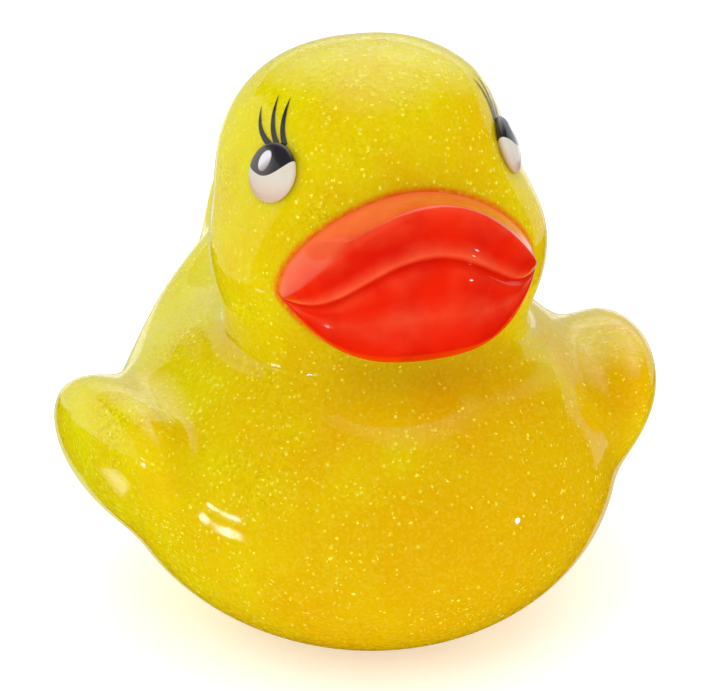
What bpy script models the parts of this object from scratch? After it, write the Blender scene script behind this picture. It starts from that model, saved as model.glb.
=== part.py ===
# Bath duck, moulded in one piece from soft vinyl: a hollow shell with a painted bill and eyes, a flat base and a vent.
# It faces -Y and stands on Z = 0 with its bounding box centred on X = 0 and Y = 0. All sizes are in metres.
# Places below are measured from the middle of the body, and the duck is centred when all is joined.

from math import cos, pi, radians, sin

import bmesh
import bpy
import numpy as np
from mathutils import Matrix, Vector

# Body: a bowl whose halves differ, measured from its widest section
BODY_HALF_WIDTH = 0.0335
BODY_FRONT = 0.0390
BODY_REAR = 0.0342
BODY_BELOW = 0.0253
BODY_ABOVE = 0.0231
BODY_HEIGHT = 0.0222
RUMP_SIZE = (0.0215, 0.0098, 0.0200)
RUMP_CENTRE = (0.0, 0.0175, 0.0278)
RUMP_LEAN = -34.0
RUMP_POWER = 2.2
TAIL_SIZE = (0.0115, 0.0068, 0.0180)
TAIL_CENTRE = (0.0, 0.0323, 0.0372)
TAIL_LEAN = -50.0
WING_SIZE = (0.0095, (0.0220, 0.0146), (0.0054, 0.0067))
WING_CENTRE = (0.0335, -0.0001, 0.0255)
WING_PITCH = -15.0
WING_ROLL = -73.8
WING_SWEEP = -6.4
WING_POWER = 2.10

# Head, with a flat on each side that an eye sits on
CRANIUM_SIZE = (0.01924, 0.0183, 0.0189)
CRANIUM_CENTRE = (0.0, -0.0063, 0.0594)
CRANIUM_POWER = 2.31
CHEEK_SIZE = (0.0212, 0.0160, (0.0168, 0.0119))
CHEEK_CENTRE = (0.0, -0.0108, 0.0522)
CHEEK_POWER = 2.11
EYE_SIZE = (0.00438, 0.00374, 0.00125)
EYE_PLACE = (0.0152, -0.0160, 0.0662)
EYE_TURN = 70.3
EYE_LIFT = 18.9
EYE_ROLL = -15.5
EYE_LID = 0.15
FLAT_DEPTH = 0.0001

# Bill: heights from the corners of the mouth, and reaches forward of them, all at the middle
BILL_HALF_WIDTH = 0.0164
CORNER_FORWARD = 0.0236
CORNER_HEIGHT = 0.0526
CORNER_SINK = 0.0006
ROOT_RISE = 0.0119
CREST_RISE = 0.0131
MOUTH_RISE = 0.00585
MOUTH_DIP = 0.0022
LOWER_DROP = 0.0045
CHIN_DROP = 0.0083
ROOT_DEPTH = 0.0060
RIDGE_REACH = 0.0096
LIPS_REACH = 0.0083
LOWER_REACH = 0.0089
CHIN_REACH = 0.0086
LIP = 0.0007

# How fast each height and reach falls off towards the corners of the mouth
BOW_POWER = 0.83
RIDGE_POWER = 0.59
ROOT_POWER = 0.46
CREST_POWER = 0.85
LOWER_POWER = 3.4
CHIN_POWER = 3.4
LIP_POWER = 4.0
SINK_POWER = 8.0

# Corner by corner of the bill's section: its share of a reach, its shares of the heights, and its lip forward and up
BILL_SECTION = (
    ("root", 1.00, {"top": 1.00}, (0, 0)),
    ("ridge", 0.30, {"top": 0.72, "crest": 0.28}, (0, 0)),
    ("ridge", 0.75, {"top": 0.22, "crest": 0.80}, (0, 0)),
    ("ridge", 1.00, {"crest": 1.00}, (0, 0.35)),
    ("ridge", 1.02, {"crest": 1.00}, (0, -0.6)),
    ("ridge", 0.80, {"crest": 0.42, "mouth": 0.58}, (0, 0)),
    ("lips", 1.00, {"mouth": 1.00}, (1.0, 1.0)),
    ("lips", 1.00, {"mouth": 1.00}, (-1.2, 0)),
    ("lips", 1.00, {"mouth": 1.00}, (1.0, -1.0)),
    ("lower", 1.02, {"mouth": 0.65, "lower": 0.35}, (0, 0)),
    ("lower", 0.93, {"mouth": 0.30, "lower": 0.70}, (0, 0)),
    ("lower", 1.00, {"lower": 1.00}, (0, 0)),
    ("chin", 0.96, {"lower": 0.50, "chin": 0.50}, (0, 0)),
    ("chin", 0.80, {"chin": 1.00}, (0, 0)),
    ("root", 1.00, {"chin": 1.00}, (0, 0)),
)

# Fillets between the forms
CHEEK_FILLET = 0.0059
FLAT_FILLET = 0.0022
NECK_FILLET = 0.007
RUMP_FILLET = 0.009
TAIL_FILLET = 0.009
WING_FILLET = 0.005
BASE_FILLET = 0.0008

# Moulding
WALL = 0.0022
BILL_HOLLOW = (0.0110, 0.0055, 0.0080)
HOLLOW_CENTRE = (0.0, -0.0226, 0.0526)
TAIL_HOLLOW = (0.0075, 0.0042, 0.0070)
VENT_RADIUS = 0.0016

# Mesh
SKIN_GRID = 0.0026
CAVITY_GRID = 0.0045
RELAX_ROUNDS = 4
DRAW_STEPS = 8
BILL_STATIONS = 13
PROBE = 1e-6
LEAST_SHARE = 1e-9

VINYL = ("yellow_vinyl", (0.80, 0.62, 0.02), 0.15)
BILL_PAINT = ("red_paint", (0.83, 0.03, 0.005), 0.20)
EYE_WHITE = ("eye_white", (0.80, 0.76, 0.72), 0.25)
EYE_BLACK = ("eye_black", (0.02, 0.02, 0.025), 0.30)


class Form:
    """A rounded ellipsoid. Its size holds half-axes, and a pair is the half-axis towards - and towards +."""

    def __init__(self, centre, size, turn=Matrix.Identity(3), power=2.0):
        self.centre = centre
        self.size = [axis if isinstance(axis, tuple) else (axis, axis) for axis in size]
        self.turn = turn
        self.power = power

    def distance(self, points):
        """About how far each point is outside the form."""
        local = (points - np.array(self.centre)) @ np.array(self.turn)
        axes = np.column_stack([
            np.where(local[:, i] < 0, self.size[i][0], self.size[i][1]) for i in range(3)
        ])
        share = np.abs(local) / axes + LEAST_SHARE
        reach = (share ** self.power).sum(axis=1) ** (1 / self.power)
        slope = share ** (self.power - 1) / axes
        slope = np.sqrt((slope ** 2).sum(axis=1)) * reach ** (1 - self.power)
        return (reach - 1) / slope

    def add_ball(self, shape, side, inset):
        """Adds the form to a bmesh as a stretched ball, on the side of X that the sign names."""
        ball = bmesh.ops.create_uvsphere(shape, u_segments=24, v_segments=16, radius=1)["verts"]
        mirror = Matrix.Scale(side, 4, (1, 0, 0))
        place = mirror @ Matrix.Translation(self.centre) @ self.turn.to_4x4()
        for vertex in ball:
            axes = [self.size[i][vertex.co[i] > 0] - inset for i in range(3)]
            vertex.co = place @ Vector(a * b for a, b in zip(vertex.co, axes))


def blend(first, second, fillet):
    """The union of two distances, rounded where they meet."""
    share = np.clip(0.5 + 0.5 * (second - first) / fillet, 0, 1)
    return second * (1 - share) + first * share - fillet * share * (1 - share)


wing_turn = (Matrix.Rotation(radians(WING_SWEEP), 3, "Z") @ Matrix.Rotation(radians(WING_PITCH), 3, "X")
             @ Matrix.Rotation(radians(WING_ROLL), 3, "Y"))
torso = Form((0, 0, BODY_HEIGHT), (BODY_HALF_WIDTH, (BODY_FRONT, BODY_REAR), (BODY_BELOW, BODY_ABOVE)))
rump = Form(RUMP_CENTRE, RUMP_SIZE, Matrix.Rotation(radians(RUMP_LEAN), 3, "X"), power=RUMP_POWER)
tail = Form(TAIL_CENTRE, TAIL_SIZE, Matrix.Rotation(radians(TAIL_LEAN), 3, "X"))
wing = Form(WING_CENTRE, WING_SIZE, wing_turn, power=WING_POWER)
cranium = Form(CRANIUM_CENTRE, CRANIUM_SIZE, power=CRANIUM_POWER)
cheeks = Form(CHEEK_CENTRE, CHEEK_SIZE, power=CHEEK_POWER)
bill_hollow = Form(HOLLOW_CENTRE, BILL_HOLLOW)
tail_hollow = Form(TAIL_CENTRE, TAIL_HOLLOW, tail.turn)
TRUNK = (torso, rump, wing, cranium, cheeks)
eye_turn = Matrix.Rotation(radians(EYE_TURN), 3, "Z") @ Matrix.Rotation(radians(90 - EYE_LIFT), 3, "X")
eye_outward = np.array(eye_turn.col[2])


def mirrored(points):
    """The points with those of the right side put on the left, because both sides are alike."""
    return np.column_stack((np.abs(points[:, 0]), points[:, 1:]))


def trunk(half):
    """Distance outside the body and head, without the tail."""
    body = blend(torso.distance(half), rump.distance(half), RUMP_FILLET)
    body = blend(body, wing.distance(half), WING_FILLET)
    flat = (half - np.array(EYE_PLACE)) @ eye_outward + FLAT_DEPTH
    crown = -blend(-cranium.distance(half), -flat, FLAT_FILLET)
    head = blend(crown, cheeks.distance(half), CHEEK_FILLET)
    return blend(body, head, NECK_FILLET)


def skin(points):
    """Distance outside the duck's plain skin with its flat base, without the bill and eyes."""
    half = mirrored(points)
    duck = blend(trunk(half), tail.distance(half), TAIL_FILLET)
    return -blend(-duck, points[:, 2], BASE_FILLET)


def cavity(points):
    """Distance outside the hollow: a wall inside the skin, open into the bill, and ended before the tail's tip."""
    half = mirrored(points)
    inside = blend(trunk(half) + WALL, tail_hollow.distance(half), TAIL_FILLET)
    inside = blend(inside, bill_hollow.distance(half), WALL)
    return -blend(-inside, points[:, 2] - WALL, BASE_FILLET)


def slope_of(surface, points):
    """The direction in which the distance to a surface grows, at each point."""
    steps = np.eye(3) * PROBE
    return np.column_stack([
        (surface(points + step) - surface(points - step)) / (2 * PROBE) for step in steps
    ])


def drawn_onto(surface, points):
    """The points moved onto the surface, straight along its slope."""
    for _ in range(DRAW_STEPS):
        slope = slope_of(surface, points)
        points = points - slope * (surface(points) / (slope ** 2).sum(axis=1))[:, None]
    return points


def moulded(name, surface, forms, grid, inset):
    """An even mesh of a surface: balls run together by a voxel remesh, then relaxed and drawn onto it."""
    shape = bmesh.new()
    for form in forms:
        for side in (1, -1) if form.centre[0] else (1,):
            form.add_ball(shape, side, inset)
    bmesh.ops.recalc_face_normals(shape, faces=shape.faces)
    blockout = new_object(name + "_blockout", shape, helpers)
    remesh = blockout.modifiers.new("Remesh", "REMESH")
    remesh.mode = "VOXEL"
    remesh.voxel_size = grid
    graph = bpy.context.evaluated_depsgraph_get()
    mesh = bpy.data.meshes.new_from_object(blockout.evaluated_get(graph))
    bpy.data.objects.remove(blockout)

    shape = bmesh.new()
    shape.from_mesh(mesh)
    for _ in range(RELAX_ROUNDS):
        bmesh.ops.smooth_vert(
            shape, verts=shape.verts, factor=0.5, use_axis_x=True, use_axis_y=True, use_axis_z=True
        )
        points = drawn_onto(surface, np.array([vertex.co for vertex in shape.verts]))
        for vertex, point in zip(shape.verts, points):
            vertex.co = point
    bpy.data.meshes.remove(mesh)
    return shape


def new_object(name, shape, collection, *materials):
    """An object from a bmesh, in its collection and with its materials."""
    mesh = bpy.data.meshes.new(name)
    shape.to_mesh(mesh)
    shape.free()
    mesh.shade_smooth()
    thing = bpy.data.objects.new(name, mesh)
    collection.objects.link(thing)
    for material in materials:
        mesh.materials.append(material)
    return thing


def new_material(name, colour, roughness):
    material = bpy.data.materials.new(name)
    material.use_nodes = True
    shader = material.node_tree.nodes["Principled BSDF"]
    shader.inputs["Base Color"].default_value = (*colour, 1)
    shader.inputs["Roughness"].default_value = roughness
    shader.inputs["Metallic"].default_value = 0
    material.diffuse_color = (*colour, 1)
    return material


def bill_section(across):
    """The bill's outline at one place across it, from its upper root over both lips to its lower root."""
    arch = cos(pi / 2 * across)
    bow = (1 - across ** 2) ** BOW_POWER
    lip = LIP * (1 - across ** LIP_POWER)
    height = {
        "top": ROOT_RISE * arch ** ROOT_POWER,
        "crest": CREST_RISE * arch ** CREST_POWER,
        "mouth": MOUTH_RISE * arch - MOUTH_DIP * sin(pi * across ** 2),
        "lower": -LOWER_DROP * (1 - across ** LOWER_POWER),
        "chin": -CHIN_DROP * (1 - across ** CHIN_POWER),
    }
    reach = {
        "root": -ROOT_DEPTH,
        "ridge": RIDGE_REACH * (1 - across ** 2) ** RIDGE_POWER,
        "lips": LIPS_REACH * bow,
        "lower": LOWER_REACH * bow,
        "chin": CHIN_REACH * bow,
    }
    outline = []
    for name, share, parts, (lip_forward, lip_up) in BILL_SECTION:
        up = sum(height[key] * part for key, part in parts.items())
        outline.append((reach[name] * share + lip * lip_forward, up + lip * lip_up))
    return outline


def make_bill(paint):
    """The bill, lofted from corner to corner of the mouth, with its root sunk in the head."""
    shape = bmesh.new()
    loops = []
    for station in range(BILL_STATIONS):
        across = -cos(pi * (station + 0.35) / (BILL_STATIONS - 0.3))
        sink = CORNER_SINK * across ** SINK_POWER
        corners = [
            shape.verts.new((across * BILL_HALF_WIDTH, sink - CORNER_FORWARD - forward, CORNER_HEIGHT + up))
            for forward, up in bill_section(abs(across))
        ]
        loops.append([
            shape.edges.new((corner, corners[i - 1])) for i, corner in enumerate(corners)
        ])
    for one, following in zip(loops, loops[1:]):
        bmesh.ops.bridge_loops(shape, edges=one + following)
    for end in (loops[0], loops[-1]):
        bmesh.ops.edgeloop_fill(shape, edges=end)
    bmesh.ops.recalc_face_normals(shape, faces=shape.faces)
    bill = new_object("bill", shape, helpers, paint)
    smooth = bill.modifiers.new("Subdivision", "SUBSURF")
    smooth.levels = smooth.render_levels = 1
    return bill


def make_eye(name, side, white, black):
    """A raised oval on its flat of the head, with its upper half painted as the pupil."""
    mirror = Matrix.Scale(side, 4, (1, 0, 0))
    roll = Matrix.Rotation(radians(EYE_ROLL), 4, "Z")
    place = mirror @ Matrix.Translation(EYE_PLACE) @ eye_turn.to_4x4() @ roll
    shape = bmesh.new()
    bmesh.ops.create_uvsphere(shape, u_segments=20, v_segments=12, radius=1)
    for face in shape.faces:
        face.material_index = int(face.calc_center_median().y > EYE_LID)
    bmesh.ops.scale(shape, vec=EYE_SIZE, verts=shape.verts)
    bmesh.ops.transform(shape, matrix=place, verts=shape.verts)
    bmesh.ops.recalc_face_normals(shape, faces=shape.faces)
    return new_object(name, shape, helpers, white, black)


def make_vent():
    shape = bmesh.new()
    bmesh.ops.create_cone(
        shape, cap_ends=True, segments=32, radius1=VENT_RADIUS, radius2=VENT_RADIUS, depth=6 * WALL
    )
    return new_object("vent", shape, helpers)


def join(duck, other, operation):
    boolean = duck.modifiers.new(other.name, "BOOLEAN")
    boolean.operation = operation
    boolean.object = other
    boolean.solver = "EXACT"
    boolean.material_mode = "TRANSFER"


for thing in list(bpy.data.objects):
    bpy.data.objects.remove(thing)
duck_parts = bpy.data.collections.new("bath_duck")
helpers = bpy.data.collections.new("cutters")
for collection in (duck_parts, helpers):
    bpy.context.scene.collection.children.link(collection)

yellow = new_material(*VINYL)
red = new_material(*BILL_PAINT)
white = new_material(*EYE_WHITE)
black = new_material(*EYE_BLACK)

duck = new_object("duck_shell", moulded("skin", skin, (*TRUNK, tail), SKIN_GRID, 0), duck_parts, yellow)
join(duck, make_bill(red), "UNION")
join(duck, make_eye("left_eye", 1, white, black), "UNION")
join(duck, make_eye("right_eye", -1, white, black), "UNION")
hollow = moulded("cavity", cavity, (*TRUNK, tail_hollow, bill_hollow), CAVITY_GRID, WALL)
join(duck, new_object("cavity", hollow, helpers), "DIFFERENCE")
join(duck, make_vent(), "DIFFERENCE")

lengthways = [vertex.co.y for vertex in duck.data.vertices]
middle = (min(lengthways) + max(lengthways)) / 2
for thing in (duck, *helpers.objects):
    thing.location.y = -middle
for thing in helpers.objects:
    thing.hide_render = True
    thing.display_type = "WIRE"
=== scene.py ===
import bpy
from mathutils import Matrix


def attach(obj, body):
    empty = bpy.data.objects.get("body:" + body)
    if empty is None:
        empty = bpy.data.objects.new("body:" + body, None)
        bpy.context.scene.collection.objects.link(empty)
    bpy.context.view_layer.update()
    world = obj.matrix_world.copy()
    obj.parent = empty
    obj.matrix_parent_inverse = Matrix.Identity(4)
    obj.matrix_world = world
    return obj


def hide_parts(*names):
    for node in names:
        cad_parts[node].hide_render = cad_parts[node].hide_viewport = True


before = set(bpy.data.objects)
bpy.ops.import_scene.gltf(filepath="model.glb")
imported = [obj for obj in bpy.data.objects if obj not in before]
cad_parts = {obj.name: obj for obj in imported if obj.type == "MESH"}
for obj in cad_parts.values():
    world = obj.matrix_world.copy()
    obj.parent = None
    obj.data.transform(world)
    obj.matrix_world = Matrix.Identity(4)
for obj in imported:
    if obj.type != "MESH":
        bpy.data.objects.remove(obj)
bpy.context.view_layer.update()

from math import cos, pi, radians, sin

import bmesh
import bpy
import numpy as np
from mathutils import Matrix, Vector
from mathutils.bvhtree import BVHTree

# Bath duck in glitter vinyl. Metres, +Z up, bill towards -Y.
# The body is one skin of blended rounded forms, and the bill, eyes and lashes sit on it.

bodyForms = {  # sizes are half-axes, and a pair is the one towards - and the one towards +
    "torso": {
        "at": (0, -0.0038, 0.0222), "size": (0.0335, (0.0390, 0.0342), (0.0253, 0.0231)),
        "power": 2.0,
    },
    "rump": {
        "at": (0, 0.0137, 0.0278), "size": (0.0215, 0.0098, 0.0200),
        "turn": (-34, 0, 0), "power": 2.2,
    },
    "tail": {
        "at": (0, 0.0285, 0.0372), "size": (0.0115, 0.0068, 0.0180),
        "turn": (-50, 0, 0), "power": 2.0,
    },
    "wing": {
        "at": (0.0335, -0.0039, 0.0255), "size": (0.0095, (0.0220, 0.0146), (0.0054, 0.0067)),
        "turn": (-15.0, -73.8, -6.4), "power": 2.1,
    },
    "cranium": {
        "at": (0, -0.0101, 0.0594), "size": (0.01924, 0.0183, 0.0189),
        "power": 2.31,
    },
    "cheeks": {
        "at": (0, -0.0146, 0.0522), "size": (0.0212, 0.0160, (0.0168, 0.0119)),
        "power": 2.11,
    },
}
eyeFlat = {  # a flat on each side of the head that an eye sits on
    "at": (0.0152, -0.0198, 0.0662),
    "turn": 70.3,
    "lift": 18.9,
    "depth": 0.0001,
    "fillet": 0.0022,
}
skinSetup = {
    "cheekFillet": 0.0059,
    "neckFillet": 0.007,
    "rumpFillet": 0.009,
    "tailFillet": 0.009,
    "wingFillet": 0.005,
    "baseFillet": 0.0008,
    "wall": 0.0022,
    "ventRadius": 0.0016,
    "ventAt": -0.0038,  # along Y
    "skinGrid": 0.0009,
    "insideGrid": 0.0022,
    "rounds": 4,  # of relaxing the mesh and drawing it onto the surface
    "sprayWidth": 0.0017,  # how far the bill's paint reaches over the skin
}


def formOf(name):  # one rounded form with its turn worked out
    form = dict(bodyForms[name])
    pitch, roll, sweep = (radians(angle) for angle in form.get("turn", (0, 0, 0)))
    form["turn"] = (
        Matrix.Rotation(sweep, 3, "Z") @ Matrix.Rotation(pitch, 3, "X") @ Matrix.Rotation(roll, 3, "Y")
    )
    form["size"] = [axis if isinstance(axis, tuple) else (axis, axis) for axis in form["size"]]
    return form


forms = {name: formOf(name) for name in bodyForms}
flatTurn, flatLift = radians(eyeFlat["turn"]), radians(eyeFlat["lift"])
flatOutward = (sin(flatTurn) * cos(flatLift), -cos(flatTurn) * cos(flatLift), sin(flatLift))


def outsideForm(name, points):  # about how far each point is outside a form
    form = forms[name]
    local = (points - np.array(form["at"])) @ np.array(form["turn"])
    axes = np.column_stack([np.where(local[:, i] < 0, *form["size"][i]) for i in range(3)])
    share = np.abs(local) / axes + 1e-9
    reach = (share ** form["power"]).sum(axis=1) ** (1 / form["power"])
    slope = share ** (form["power"] - 1) / axes
    slope = np.sqrt((slope ** 2).sum(axis=1)) * reach ** (1 - form["power"])
    return (reach - 1) / slope


def blended(first, second, fillet):  # two distances run together with a fillet
    share = np.clip(0.5 + 0.5 * (second - first) / fillet, 0, 1)
    return second * (1 - share) + first * share - fillet * share * (1 - share)


def outsideTrunk(half):  # about how far each point is outside the body and head, without the tail
    distance = {name: outsideForm(name, half) for name in forms if name != "tail"}
    trunk = blended(distance["torso"], distance["rump"], skinSetup["rumpFillet"])
    trunk = blended(trunk, distance["wing"], skinSetup["wingFillet"])
    flat = (half - np.array(eyeFlat["at"])) @ np.array(flatOutward) + eyeFlat["depth"]
    cranium = -blended(-distance["cranium"], -flat, eyeFlat["fillet"])
    head = blended(cranium, distance["cheeks"], skinSetup["cheekFillet"])
    return blended(trunk, head, skinSetup["neckFillet"])


def outsideSkin(points):  # the same for the whole skin, with the tail and the flat base
    half = np.column_stack((np.abs(points[:, 0]), points[:, 1:]))
    duck = blended(outsideTrunk(half), outsideForm("tail", half), skinSetup["tailFillet"])
    return -blended(-duck, points[:, 2], skinSetup["baseFillet"])


def outsideHollow(points):  # the same for the hollow, one wall further in and without the tail
    half = np.column_stack((np.abs(points[:, 0]), points[:, 1:]))
    hollow = outsideTrunk(half) + skinSetup["wall"]
    return -blended(-hollow, points[:, 2] - skinSetup["wall"], skinSetup["baseFillet"])


def slopeOf(surface, points):  # which way the distance grows at each point
    steps = np.eye(3) * 1e-6
    return np.column_stack([(surface(points + step) - surface(points - step)) / 2e-6 for step in steps])


def drawnOnto(surface, points, steps=8):  # points moved straight onto a surface
    for _ in range(steps):
        slope = slopeOf(surface, points)
        points = points - slope * (surface(points) / (slope ** 2).sum(axis=1))[:, None]
    return points


def newPiece(name, shape, *materials):
    mesh = bpy.data.meshes.new(name)
    shape.to_mesh(mesh)
    shape.free()
    mesh.shade_smooth()
    piece = bpy.data.objects.new(name, mesh)
    bpy.context.scene.collection.objects.link(piece)
    for material in materials:
        mesh.materials.append(material)
    return piece


def applied(piece):  # the piece's mesh with its modifiers in it
    bpy.context.view_layer.update()
    mesh = bpy.data.meshes.new_from_object(piece.evaluated_get(bpy.context.evaluated_depsgraph_get()))
    old = piece.data
    piece.modifiers.clear()
    piece.data = mesh
    mesh.name = piece.name
    bpy.data.meshes.remove(old)
    return piece


def mouldedShape(surface, names, grid, inset):
    # balls in the forms' places, run together by a remesh, relaxed and drawn onto the blended surface
    shape = bmesh.new()
    for form in (forms[key] for key in names):
        for side in (1, -1) if form["at"][0] else (1,):
            ball = bmesh.ops.create_uvsphere(shape, u_segments=32, v_segments=20, radius=1)["verts"]
            place = Matrix.Translation(form["at"]) @ form["turn"].to_4x4()
            place = Matrix.Scale(side, 4, (1, 0, 0)) @ place
            for vertex in ball:
                axes = [form["size"][i][vertex.co[i] > 0] - inset for i in range(3)]
                vertex.co = place @ Vector(axis * share for axis, share in zip(axes, vertex.co))
    bmesh.ops.recalc_face_normals(shape, faces=shape.faces)
    blockout = newPiece("blockout", shape)
    remesh = blockout.modifiers.new("Remesh", "REMESH")
    remesh.mode = "VOXEL"
    remesh.voxel_size = grid
    mesh = applied(blockout).data
    shape = bmesh.new()
    shape.from_mesh(mesh)
    for _ in range(skinSetup["rounds"]):
        bmesh.ops.smooth_vert(
            shape, verts=shape.verts, factor=0.5, use_axis_x=True, use_axis_y=True, use_axis_z=True
        )
        points = drawnOnto(surface, np.array([vertex.co for vertex in shape.verts]))
        for vertex, point in zip(shape.verts, points):
            vertex.co = point
    bpy.data.objects.remove(blockout)
    bpy.data.meshes.remove(mesh)
    return shape


billSetup = {
    "halfWidth": 0.0164,
    "cornerAt": (-0.0274, 0.0526),  # along Y and Z
    "cornerSink": 0.0006,
    "rootDepth": 0.0040,
    "rises": {"top": 0.0119, "crest": 0.0131, "mouth": 0.00585, "lower": -0.0045, "chin": -0.0083},
    "mouthDip": 0.0022,  # how far the mouth line sinks between its middle and its corners
    "reaches": {"ridge": 0.0096, "lips": 0.0083, "lower": 0.0089, "chin": 0.0086},
    "lip": 0.0007,
    "stations": 25,
    # corner by corner of the section: share of a reach, shares of the rises,
    # shares of the lip forward and up, and how pale the paint is there: thin paint at the root, and
    # painted highlights on the upper slope, the ridge, the upper lip's edge and the lower lip
    "section": [
        ("root", 1.00, {"top": 1.00}, (0, 0), 1.0),
        ("ridge", 0.30, {"top": 0.72, "crest": 0.28}, (0, 0), 0.85),
        ("ridge", 0.75, {"top": 0.22, "crest": 0.80}, (0, 0), 0.6),
        ("ridge", 1.00, {"crest": 1.00}, (0, 0.35), 0.42),
        ("ridge", 1.02, {"crest": 1.00}, (0, -0.6), 0.2),
        ("ridge", 0.80, {"crest": 0.42, "mouth": 0.58}, (0, 0), 0.05),
        ("lips", 1.00, {"mouth": 1.00}, (1.0, 1.0), 0.55),
        ("lips", 1.00, {"mouth": 1.00}, (-1.2, 0), 0.0),
        ("lips", 1.00, {"mouth": 1.00}, (1.0, -1.0), 0.2),
        ("lower", 1.02, {"mouth": 0.65, "lower": 0.35}, (0, 0), 0.08),
        ("lower", 0.93, {"mouth": 0.30, "lower": 0.70}, (0, 0), 0.32),
        ("lower", 1.00, {"lower": 1.00}, (0, 0), 0.15),
        ("chin", 0.96, {"lower": 0.50, "chin": 0.50}, (0, 0), 0.0),
        ("chin", 0.80, {"chin": 1.00}, (0, 0), 0.0),
        ("root", 1.00, {"chin": 1.00}, (0, 0), 0.0),
    ],
    "shape": {  # powers of how each height or reach goes from the middle to the corners
        "bow": 0.83, "ridge": 0.59, "top": 0.46, "crest": 0.85,
        "lower": 3.4, "chin": 3.4, "lip": 4.0, "sink": 8.0,
    },
}


def billSection(across):
    # (forward, up) from the corners of the mouth, from the upper root over both lips to the lower root
    b, power = billSetup, billSetup["shape"]
    arch = cos(pi / 2 * across)
    room = 1 - across ** 2
    rise = {
        "top": b["rises"]["top"] * arch ** power["top"],
        "crest": b["rises"]["crest"] * arch ** power["crest"],
        "mouth": b["rises"]["mouth"] * arch - b["mouthDip"] * sin(pi * across ** 2),
        "lower": b["rises"]["lower"] * (1 - across ** power["lower"]),
        "chin": b["rises"]["chin"] * (1 - across ** power["chin"]),
    }
    lip = b["lip"] * (1 - across ** power["lip"])
    reach = {name: length * room ** power["bow"] for name, length in b["reaches"].items()}
    reach["ridge"] = b["reaches"]["ridge"] * room ** power["ridge"]
    reach["root"] = -b["rootDepth"]
    return [
        (
            reach[name] * share + lip * lipForward,
            sum(rise[key] * part for key, part in parts.items()) + lip * lipUp,
        )
        for name, share, parts, (lipForward, lipUp), _ in b["section"]
    ]


def makeBill(material):
    shape = bmesh.new()
    thinAndHighlight = shape.verts.layers.float.new("thinAndHighlight")
    cornerY, cornerZ = billSetup["cornerAt"]
    loops = []
    for station in range(billSetup["stations"]):  # closer together towards the corners
        across = -cos(pi * (station + 0.35) / (billSetup["stations"] - 0.3))
        sink = billSetup["cornerSink"] * across ** billSetup["shape"]["sink"]
        corners = [
            shape.verts.new((across * billSetup["halfWidth"], cornerY + sink - forward, cornerZ + up))
            for forward, up in billSection(abs(across))
        ]
        # how pale the paint is at each corner: thin paint at the root, painted highlights on the slope,
        # ridge and lips
        for corner, (*_, thinAndHighlightShare) in zip(corners, billSetup["section"]):
            corner[thinAndHighlight] = thinAndHighlightShare
        loops.append([shape.edges.new((corner, corners[i - 1])) for i, corner in enumerate(corners)])
    for one, following in zip(loops, loops[1:]):
        bmesh.ops.bridge_loops(shape, edges=one + following)
    for end in (loops[0], loops[-1]):
        bmesh.ops.edgeloop_fill(shape, edges=end)
    bmesh.ops.recalc_face_normals(shape, faces=shape.faces)
    bill = newPiece("bill", shape, material)
    smooth = bill.modifiers.new("Subdivision", "SUBSURF")
    smooth.levels = smooth.render_levels = 3
    return applied(bill)


eyeSetup = {
    "size": (0.00438, 0.00374, 0.00125),
    "roll": -15.5,
    "lashWidth": 0.00088,
    "lashTaper": 2.2,
    "lashLift": 0.00006,
    "lashes": [  # places up each lash of the left eye
        (
            (0.0153, -0.0187, 0.0691), (0.0151, -0.0156, 0.0697),
            (0.0149, -0.0140, 0.0710), (0.0144, -0.0129, 0.0725),
        ),
        (
            (0.0147, -0.0188, 0.0696), (0.0141, -0.0168, 0.0709),
            (0.0135, -0.0156, 0.0726), (0.0125, -0.0145, 0.0742),
        ),
        (
            (0.0140, -0.0202, 0.0697), (0.0133, -0.0184, 0.0711),
            (0.0126, -0.0174, 0.0728), (0.0116, -0.0165, 0.0744),
        ),
    ],
}
eyeLevel = Vector((cos(flatTurn), sin(flatTurn), 0))  # along the eye towards the back of the head
eyeUpward = Vector(flatOutward).cross(eyeLevel)


def makeEye(name, side, material):  # a raised oval on its flat of the head
    shape = bmesh.new()
    bmesh.ops.create_uvsphere(shape, u_segments=64, v_segments=40, radius=1)
    bmesh.ops.scale(shape, vec=eyeSetup["size"], verts=shape.verts)
    turn = Matrix((eyeLevel, eyeUpward, flatOutward)).transposed().to_4x4()
    turn = Matrix.Translation(eyeFlat["at"]) @ turn @ Matrix.Rotation(radians(eyeSetup["roll"]), 4, "Z")
    bmesh.ops.transform(shape, matrix=Matrix.Scale(side, 4, (1, 0, 0)) @ turn, verts=shape.verts)
    bmesh.ops.recalc_face_normals(shape, faces=shape.faces)
    return newPiece(name, shape, material)


def makeLashes(name, side, material):  # three tapered strokes of paint on the skin above an eye
    shape = bmesh.new()
    for places in eyeSetup["lashes"]:
        knots = np.array(places) * (side, 1, 1)
        grid = bmesh.ops.create_grid(shape, x_segments=4, y_segments=24, size=1)["verts"]
        share = np.array([(vertex.co.y + 1) / 2 for vertex in grid])
        sideways = np.array([vertex.co.x for vertex in grid])
        # the stroke's middle line, as a cubic through the four places
        curves = [np.polyfit(np.linspace(0, 1, 4), knots[:, i], 3) for i in range(3)]
        middle = np.column_stack([np.polyval(curve, share) for curve in curves])
        onward = np.column_stack([np.polyval(np.polyder(curve), share) for curve in curves])
        middle = drawnOnto(outsideSkin, middle)
        outward = slopeOf(outsideSkin, middle)
        across = np.cross(onward, outward)
        across /= np.linalg.norm(across, axis=1)[:, None]
        width = eyeSetup["lashWidth"] / 2 * (1 - share ** eyeSetup["lashTaper"])
        points = drawnOnto(outsideSkin, middle + across * (sideways * width)[:, None])
        outward = slopeOf(outsideSkin, points)
        points += outward / np.linalg.norm(outward, axis=1)[:, None] * eyeSetup["lashLift"]
        for vertex, point in zip(grid, points):
            vertex.co = point
    bmesh.ops.remove_doubles(shape, verts=shape.verts, dist=1e-6)
    bmesh.ops.recalc_face_normals(shape, faces=shape.faces)
    return newPiece(name, shape, material)


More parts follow.
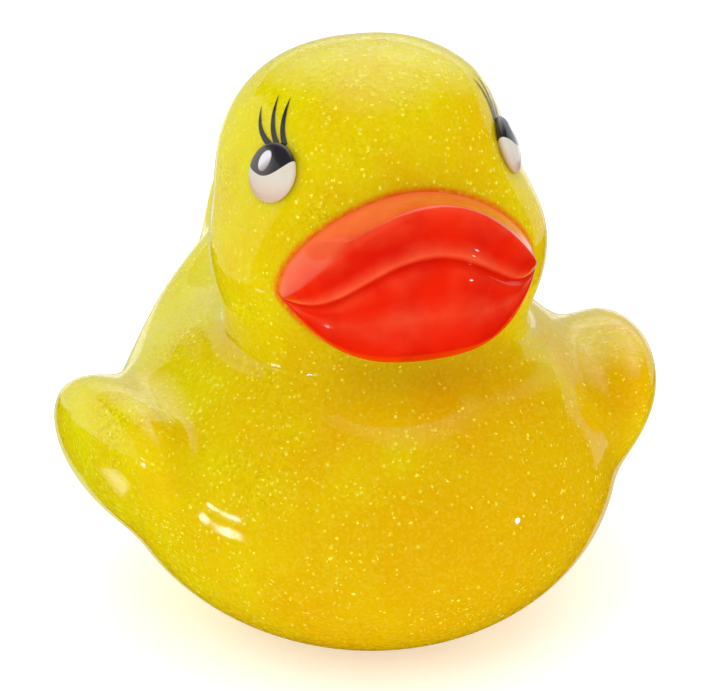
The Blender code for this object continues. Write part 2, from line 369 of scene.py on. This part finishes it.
class Nodes:  # short ways to add and join shader nodes
    def __init__(self, name):
        self.material = bpy.data.materials.new(name)
        self.material.use_nodes = True
        self.tree = self.material.node_tree
        self.shader = self.tree.nodes["Principled BSDF"]
        self.place = self.add("ShaderNodeTexCoord").outputs["Object"]

    def add(self, kind, inputs=(), **settings):
        node = self.tree.nodes.new(kind)
        for key, value in settings.items():
            setattr(node, key, value)
        for key, value in dict(inputs).items():
            self.feed(node.inputs[key], value)
        return node

    def feed(self, socket, value):
        if isinstance(value, bpy.types.NodeSocket):
            self.tree.links.new(value, socket)
        else:
            socket.default_value = value

    def math(self, operation, *values):
        return self.add("ShaderNodeMath", enumerate(values), operation=operation).outputs[0]

    def vector(self, operation, *values):
        node = self.add("ShaderNodeVectorMath", enumerate(values), operation=operation)
        return node.outputs["Value" if operation == "DOT_PRODUCT" else "Vector"]

    def range(self, value, low, high, start=0.0, end=1.0):
        inputs = {"Value": value, "From Min": low, "From Max": high, "To Min": start, "To Max": end}
        return self.add("ShaderNodeMapRange", inputs, interpolation_type="SMOOTHSTEP").outputs["Result"]

    def mix(self, share, first, second):
        node = self.add("ShaderNodeMix", data_type="RGBA")
        for index, value in ((0, share), (6, first), (7, second)):
            self.feed(node.inputs[index], (*value, 1) if isinstance(value, tuple) else value)
        return node.outputs[2]

    def noise(self, scale, detail, offset=None):
        place = self.place if offset is None else self.vector("ADD", self.place, offset)
        inputs = {"Vector": place, "Scale": scale, "Detail": detail}
        return self.add("ShaderNodeTexNoise", inputs).outputs["Fac"]

    def cells(self, scale, offset=(0.0, 0.0, 0.0)):
        place = self.vector("ADD", self.place, offset)
        return self.add("ShaderNodeTexVoronoi", {"Vector": place, "Scale": scale}, feature="F1")

    def tones(self, colour):  # a colour's three numbers
        return self.add("ShaderNodeSeparateColor", {"Color": colour}).outputs

    def wander(self, scale, detail, amount, offset=None):  # noise to either side of nothing
        centred = self.math("SUBTRACT", self.noise(scale, detail, offset=offset), 0.5)
        return self.math("MULTIPLY", centred, amount)


vinylLook = {  # scales and cell counts are per metre
    "amberShaded": (0.74, 0.410, 0.000),
    "lemonBacklit": (0.75, 0.655, 0.001),
    "backlitLemonShare": 0.52,  # at the origin, and how it grows along each axis per metre: painted backlight, lemon towards the back, the top and the -X side, amber as painted shade towards the front and below, partly also the vinyl's own tint where it is thinner or thicker
    "backlitLemonGrowth": (-5.2, 12.6, 5.0),
    "cloudScale": 110,
    "glitter": (1.00, 0.90, 0.10),
    "grainDark": (0.46, 0.32, 0.000),
    "spray": (0.90, 0.140, 0.006),
    "sprayScale": 2600,
    "clusterScale": 75,
    "grainCells": 2800,
    "paleGrain": 0.10,  # the most that it shows
    "darkGrain": (0.08, 0.60),  # the most that it shows, between its clusters and in them
    # the flecks' cells, how many of them are filled, how large the flecks are and how strongly they show
    "fine": {"cells": 1900, "offset": (0.37, 0.11, 0.71), "crowd": 0.45, "size": 0.30, "share": 0.55},
    "coarse": {
        "cells": 1150, "offset": (0.13, 0.57, 0.29), "crowd": 0.42, "size": 0.18, "share": (0.3, 0.9),
    },
    "raggedness": 0.7,
    "roughness": 0.34,
    "shine": 0.0,
    "coat": (0.55, 1.0),  # where it is faintest and strongest
    "coatScale": 1500,
    "coatRoughness": 0.09,
    "glow": 0.5,
    "glowRadius": (1.0, 0.70, 0.02),
    "glowScale": 0.006,
}


def vinylMaterial():  # yellow vinyl full of glitter under a glossy surface, shifted from amber to lemon by painted backlight and shade
    n = Nodes("glitterVinyl")
    look = vinylLook
    # painted backlight and shade: lemon towards the back, the top and the -X side, amber towards the
    # front and below, partly the vinyl's own tint where it is thinner or thicker
    lemonBacklit = n.math("ADD", n.vector("DOT_PRODUCT", n.place, look["backlitLemonGrowth"]), look["backlitLemonShare"])
    lemonBacklit = n.math("ADD", lemonBacklit, n.wander(look["cloudScale"], 3, 0.9))
    colour = n.mix(n.range(lemonBacklit, 0.0, 1.0), look["amberShaded"], look["lemonBacklit"])
    crowd = n.range(n.noise(look["clusterScale"], 3, offset=(0.21, 0.4, 0.9)), 0.38, 0.62, 0.25, 1.0)
    # the glitter and the dark grain show more where the painted backlight is strongest
    crowdAndBacklight = n.math("MULTIPLY", crowd, n.range(lemonBacklit, 0.1, 0.9, 0.3, 1.0))

    def flecks(kind):  # 1 inside small ragged flecks, with their field and each one's tones
        field = n.cells(kind["cells"], kind["offset"])
        tones = n.tones(field.outputs["Color"])
        ragged = n.wander(kind["cells"] * 2.4, 1, look["raggedness"], kind["offset"])
        ragged = n.math("ADD", field.outputs["Distance"], ragged)
        reach = n.math("MULTIPLY", n.math("ADD", tones[2], 0.6), kind["size"])
        inside = n.math("LESS_THAN", ragged, reach)
        empty = n.math("SUBTRACT", 1.0, n.math("MULTIPLY", crowdAndBacklight, kind["crowd"]))
        filled = n.math("GREATER_THAN", tones[0], empty)
        return n.math("MULTIPLY", inside, filled), field, tones

    grain = n.tones(n.cells(look["grainCells"]).outputs["Color"])
    colour = n.mix(n.range(grain[0], 0.4, 1.0, 0.0, look["paleGrain"]), colour, look["glitter"])
    dark = n.noise(look["clusterScale"], 2, offset=(0.8, 0.3, 0.1))
    dark = n.math("MULTIPLY", n.range(dark, 0.35, 0.65, *look["darkGrain"]), crowdAndBacklight)
    colour = n.mix(n.math("MULTIPLY", n.range(grain[1], 0.4, 1.0), dark), colour, look["grainDark"])
    fine, field, _ = flecks(look["fine"])
    colour = n.mix(n.math("MULTIPLY", fine, look["fine"]["share"]), colour, look["glitter"])
    coarse, _, tones = flecks(look["coarse"])
    coarse = n.math("MULTIPLY", coarse, n.range(tones[1], 0.0, 1.0, *look["coarse"]["share"]))
    colour = n.mix(coarse, colour, look["glitter"])
    # the fine flecks lie at all angles, so each catches the light by itself
    tilt = n.vector("SUBTRACT", field.outputs["Color"], (0.5, 0.5, 0.5))
    tilt = n.vector("SCALE", tilt)
    n.feed(tilt.node.inputs["Scale"], fine)
    normal = n.add("ShaderNodeNewGeometry").outputs["Normal"]
    normal = n.vector("NORMALIZE", n.vector("ADD", normal, tilt))
    spray = n.add("ShaderNodeAttribute", attribute_name="paint").outputs["Fac"]
    edge = n.math("ADD", spray, n.wander(look["sprayScale"], 2, 0.30))
    colour = n.mix(n.range(edge, 0.45, 1.0), colour, look["spray"])
    coat = n.range(n.noise(look["coatScale"], 2), 0.40, 0.62, *look["coat"])
    s = n.shader.inputs
    n.feed(s["Base Color"], colour)
    n.feed(s["Normal"], normal)
    n.feed(s["Coat Weight"], coat)
    s["Roughness"].default_value = look["roughness"]
    s["Specular IOR Level"].default_value = look["shine"]
    s["Coat Roughness"].default_value = look["coatRoughness"]
    s["Subsurface Weight"].default_value = look["glow"]
    s["Subsurface Radius"].default_value = look["glowRadius"]
    s["Subsurface Scale"].default_value = look["glowScale"]
    return n.material


billLook = {
    "red": (0.79, 0.013, 0.000),
    "deep": (0.68, 0.006, 0.000),
    "coralAndHighlight": (0.95, 0.150, 0.052),
    "cloudScale": 160,
    "thinAndHighlightScale": 260,
    "roughness": (0.30, 0.42),
    "roughScale": 900,
    "shine": 0.0,
    "coat": 0.9,
    "coatRoughness": 0.10,
    "glow": 0.10,
    "glowRadius": (1.0, 0.15, 0.05),
    "glowScale": 0.002,
}


def billMaterial():  # glossy red paint, paler where it was sprayed thinly and where highlights are painted on
    n = Nodes("redPaint")
    look = billLook
    colour = n.mix(n.range(n.noise(look["cloudScale"], 3), 0.35, 0.75), look["red"], look["deep"])
    # paler coral where the paint is thin at the root, and painted highlights on the upper slope, the
    # ridge, the upper lip's edge and the lower lip
    thinAndHighlight = n.add("ShaderNodeAttribute", attribute_name="thinAndHighlight").outputs["Fac"]
    thinAndHighlight = n.math("ADD", thinAndHighlight, n.wander(look["thinAndHighlightScale"], 3, 0.5, (3.1, 0.7, 1.9)))
    colour = n.mix(n.range(thinAndHighlight, 0.0, 1.1), colour, look["coralAndHighlight"])
    s = n.shader.inputs
    n.feed(s["Base Color"], colour)
    n.feed(s["Roughness"], n.range(n.noise(look["roughScale"], 2), 0.3, 0.8, *look["roughness"]))
    s["Specular IOR Level"].default_value = look["shine"]
    s["Coat Weight"].default_value = look["coat"]
    s["Coat Roughness"].default_value = look["coatRoughness"]
    s["Subsurface Weight"].default_value = look["glow"]
    s["Subsurface Radius"].default_value = look["glowRadius"]
    s["Subsurface Scale"].default_value = look["glowScale"]
    return n.material


eyeLook = {  # distances along the eye towards the bill and up, from its middle
    "white": (0.70, 0.65, 0.54),
    "warm": (0.70, 0.52, 0.40),
    "pearlScale": 420,
    "black": (0.020, 0.018, 0.021),
    "ring": (0.062, 0.054, 0.056),
    "glint": (0.80, 0.76, 0.79),
    "glintShade": (0.34, 0.32, 0.32),
    "lowest": (-0.0009, -0.00068),  # where the lower edge of the black is lowest
    "bend": (50, 150),  # how fast it rises from there, towards the back and towards the bill
    "edge": 0.00006,  # half the width over which the black fades
    "glintAt": ((-0.00060, 0.00122), (0.00104, 0.00138), -20),  # middle, half-axes and turn
    "ringAt": ((-0.0011, 0.0009), (0.0021, 0.0021), 0),
    "roughness": (0.28, 0.34),  # of the white and of the black
    "shine": 0.2,
    "coat": 0.8,
    "coatRoughness": 0.10,
}


def eyeMaterial():  # pearly white with the black above it and a painted glint
    n = Nodes("eyePaint")
    look = eyeLook
    x, y, z = n.add("ShaderNodeSeparateXYZ", {0: n.place}).outputs
    mirrored = n.add("ShaderNodeCombineXYZ", {0: n.math("ABSOLUTE", x), 1: y, 2: z}).outputs[0]
    local = n.vector("SUBTRACT", mirrored, eyeFlat["at"])
    u = n.vector("DOT_PRODUCT", local, tuple(-eyeLevel))
    v = n.vector("DOT_PRODUCT", local, tuple(eyeUpward))

    def within(middle, size, turn, soft):  # 1 inside an oval, 0 outside
        x, y = n.math("SUBTRACT", u, middle[0]), n.math("SUBTRACT", v, middle[1])
        c, s = cos(radians(turn)), sin(radians(turn))
        a = n.math("ADD", n.math("MULTIPLY", x, c), n.math("MULTIPLY", y, s))
        b = n.math("SUBTRACT", n.math("MULTIPLY", y, c), n.math("MULTIPLY", x, s))
        a, b = n.math("DIVIDE", a, size[0]), n.math("DIVIDE", b, size[1])
        reach = n.math("SQRT", n.math("ADD", n.math("MULTIPLY", a, a), n.math("MULTIPLY", b, b)))
        return n.range(reach, 1 - soft, 1 + soft, 1.0, 0.0)

    along = n.math("SUBTRACT", u, look["lowest"][0])
    lowerEdge = look["lowest"][1]
    for side, bend in zip(("MINIMUM", "MAXIMUM"), look["bend"]):
        rise = n.math("POWER", n.math("ABSOLUTE", n.math(side, along, 0.0)), 2.0)
        lowerEdge = n.math("ADD", lowerEdge, n.math("MULTIPLY", rise, bend))
    black = n.range(n.math("SUBTRACT", v, lowerEdge), -look["edge"], look["edge"])
    pearl = n.mix(n.range(v, 0.0, -0.0032), look["white"], look["warm"])
    pearl = n.mix(n.range(n.noise(look["pearlScale"], 2), 0.35, 0.75, 0.0, 0.35), pearl, look["warm"])
    dark = n.mix(within(*look["ringAt"], 0.3), look["black"], look["ring"])
    colour = n.mix(black, pearl, dark)
    glint = n.mix(n.range(n.math("SUBTRACT", v, u), 0.0004, 0.0022), look["glintShade"], look["glint"])
    colour = n.mix(within(*look["glintAt"], 0.09), colour, glint)
    s = n.shader.inputs
    n.feed(s["Base Color"], colour)
    n.feed(s["Roughness"], n.range(black, 0.0, 1.0, *look["roughness"]))
    s["Specular IOR Level"].default_value = look["shine"]
    s["Coat Weight"].default_value = look["coat"]
    s["Coat Roughness"].default_value = look["coatRoughness"]
    return n.material


lashLook = {
    "black": (0.030, 0.027, 0.026),
    "deep": (0.016, 0.014, 0.016),
    "roughness": (0.30, 0.42),
    "coat": 0.5,
    "coatRoughness": 0.08,
}


def lashMaterial():  # black paint, a little uneven
    n = Nodes("lashPaint")
    look = lashLook
    s = n.shader.inputs
    n.feed(s["Base Color"], n.mix(n.range(n.noise(900, 3), 0.3, 0.8), look["black"], look["deep"]))
    n.feed(s["Roughness"], n.range(n.noise(2000, 2), 0.3, 0.7, *look["roughness"]))
    s["Coat Weight"].default_value = look["coat"]
    s["Coat Roughness"].default_value = look["coatRoughness"]
    return n.material


print("making the skin")
wall, ventRadius = skinSetup["wall"], skinSetup["ventRadius"]
skin = newPiece("vinylSkin", mouldedShape(outsideSkin, forms, skinSetup["skinGrid"], 0), vinylMaterial())
trunkForms = [name for name in forms if name != "tail"]
hollow = newPiece("hollow", mouldedShape(outsideHollow, trunkForms, skinSetup["insideGrid"], wall))
shape = bmesh.new()
bmesh.ops.create_cone(
    shape, cap_ends=True, segments=48, radius1=ventRadius, radius2=ventRadius, depth=6 * wall
)
bmesh.ops.translate(shape, vec=(0, skinSetup["ventAt"], 0), verts=shape.verts)
vent = newPiece("vent", shape)
for tool in (hollow, vent):
    cut = skin.modifiers.new(tool.name, "BOOLEAN")
    cut.operation = "DIFFERENCE"
    cut.solver = "MANIFOLD"
    cut.object = tool
applied(skin)
for tool in (hollow, vent):
    bpy.data.objects.remove(tool)

print("making the bill, eyes and lashes")
bill = makeBill(billMaterial())
eyePaint = eyeMaterial()
lashPaint = lashMaterial()
eyes = [makeEye("leftEye", 1, eyePaint), makeEye("rightEye", -1, eyePaint)]
lashes = [makeLashes("leftLashes", 1, lashPaint), makeLashes("rightLashes", -1, lashPaint)]

print("marking the sprayed edge of the bill's paint on the skin")
billTree = BVHTree.FromObject(bill, bpy.context.evaluated_depsgraph_get())
paint = skin.data.attributes.new("paint", "FLOAT", "POINT")
for vertex in skin.data.vertices:
    distance = billTree.find_nearest(vertex.co)[3]
    paint.data[vertex.index].value = 1 - min(1, distance / skinSetup["sprayWidth"])

for piece in (skin, bill, *eyes, *lashes):
    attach(piece, "root")
    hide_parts("duck_shell")

print("setting the floor, lights and camera")
roomSetup = {
    "light": 0.80,
    "floorGlow": 0.42,
    "floorSize": 4,  # half of its side
    "floorTones": ((0.90, 0.90, 0.90), (0.88, 0.88, 0.88)),
}
shape = bmesh.new()
bmesh.ops.create_grid(shape, x_segments=1, y_segments=1, size=roomSetup["floorSize"])
n = Nodes("paleFloor")
s = n.shader.inputs
n.feed(s["Base Color"], n.mix(n.range(n.noise(3, 2), 0.3, 0.7), *roomSetup["floorTones"]))
s["Roughness"].default_value = 0.8
s["Emission Color"].default_value = (1, 1, 1, 1)
s["Emission Strength"].default_value = roomSetup["floorGlow"]
floor = newPiece("floor", shape, n.material)
floor.visible_glossy = False

middle = (0, 0, 0.035)
# each light's aim, turn from the front, height angle, distance, width, height, watts and beam angle,
# and True where it only shows in the gloss, False where it only lights
lights = {
    "key": (middle, -24, 58, 1.50, 1.20, 1.20, 7.5, 180, False),
    "ceilingBack": (middle, 158, 44, 0.60, 1.10, 0.95, 1.4, 86, True),
    "ceiling": (middle, 128, 80, 0.60, 0.66, 0.60, 0.20, 60, True),
    "backdropRight": (middle, 131, 2, 0.60, 0.61, 0.36, 0.45, 180, True),
    "backdrop": (middle, 185, 2, 0.60, 0.61, 0.36, 0.45, 180, True),
    "backdropLeft": (middle, -121, 2, 0.60, 0.63, 0.46, 0.60, 180, True),
    "edgeCard": (middle, 163.5, -22.7, 0.60, 0.60, 0.34, 0.38, 180, True),
    "windowUpper": ((-0.0250, -0.0290, 0.0250), -85, -4, 0.16, 0.030, 0.010, 0.00014, 16, True),
    "windowLower": ((-0.0250, -0.0290, 0.0240), -88, -17.5, 0.16, 0.040, 0.022, 0.00042, 16, True),
    "breastSpot": ((0.0090, -0.0411, 0.0251), 52, -7, 0.30, 0.012, 0.014, 0.0013, 20, True),
    "neckSpot": ((-0.0127, -0.0257, 0.0414), -53, -7, 0.20, 0.008, 0.005, 0.00003, 8, True),
    "wingGlow": ((-0.0359, -0.0181, 0.0273), -141, -38, 0.20, 0.056, 0.034, 0.00011, 18, True),
}
for name, (aim, turn, height, distance, width, tall, watts, beam, onlyGloss) in lights.items():
    lamp = bpy.data.lights.new(name, "AREA")
    lamp.shape = "RECTANGLE"
    lamp.size, lamp.size_y, lamp.energy = width, tall, watts
    lamp.spread = radians(beam)
    stand = bpy.data.objects.new(name, lamp)
    stand.visible_camera = False
    stand.visible_glossy = onlyGloss
    stand.visible_diffuse = not onlyGloss
    bpy.context.scene.collection.objects.link(stand)
    turn, height = radians(turn), radians(height)
    away = Vector((sin(turn) * cos(height), -cos(turn) * cos(height), sin(height)))
    stand.location = Vector(aim) + away * distance
    stand.rotation_euler = away.to_track_quat("Z", "Y").to_euler()

world = bpy.data.worlds.new("softRoom")
bpy.context.scene.world = world
world.use_nodes = True
air = world.node_tree.nodes["Background"]
air.inputs["Color"].default_value = (1, 1, 1, 1)
air.inputs["Strength"].default_value = roomSetup["light"]
world.cycles_visibility.glossy = False

cameraSetup = {
    "turn": -16.55,
    "height": 22.75,
    "roll": 1.05,
    "aim": (0.00297, 0.00603, 0.0306),
    "distance": 0.42,
    "lens": 156.4,
}
turn, height, roll = (radians(cameraSetup[key]) for key in ("turn", "height", "roll"))
right = Vector((cos(turn), sin(turn), 0))
back = Vector((sin(turn) * cos(height), -cos(turn) * cos(height), sin(height)))
upward = back.cross(right)
right, upward = right * cos(roll) - upward * sin(roll), upward * cos(roll) + right * sin(roll)
camera = bpy.data.objects.new("camera", bpy.data.cameras.new("camera"))
bpy.context.scene.collection.objects.link(camera)
camera.data.sensor_width = 36
camera.data.lens = cameraSetup["lens"]
camera.data.clip_start = 0.01
place = Vector(cameraSetup["aim"]) + back * cameraSetup["distance"]
camera.matrix_world = Matrix.Translation(place) @ Matrix((right, upward, back)).transposed().to_4x4()
bpy.context.scene.camera = camera
bpy.context.scene.view_settings.view_transform = "Standard"
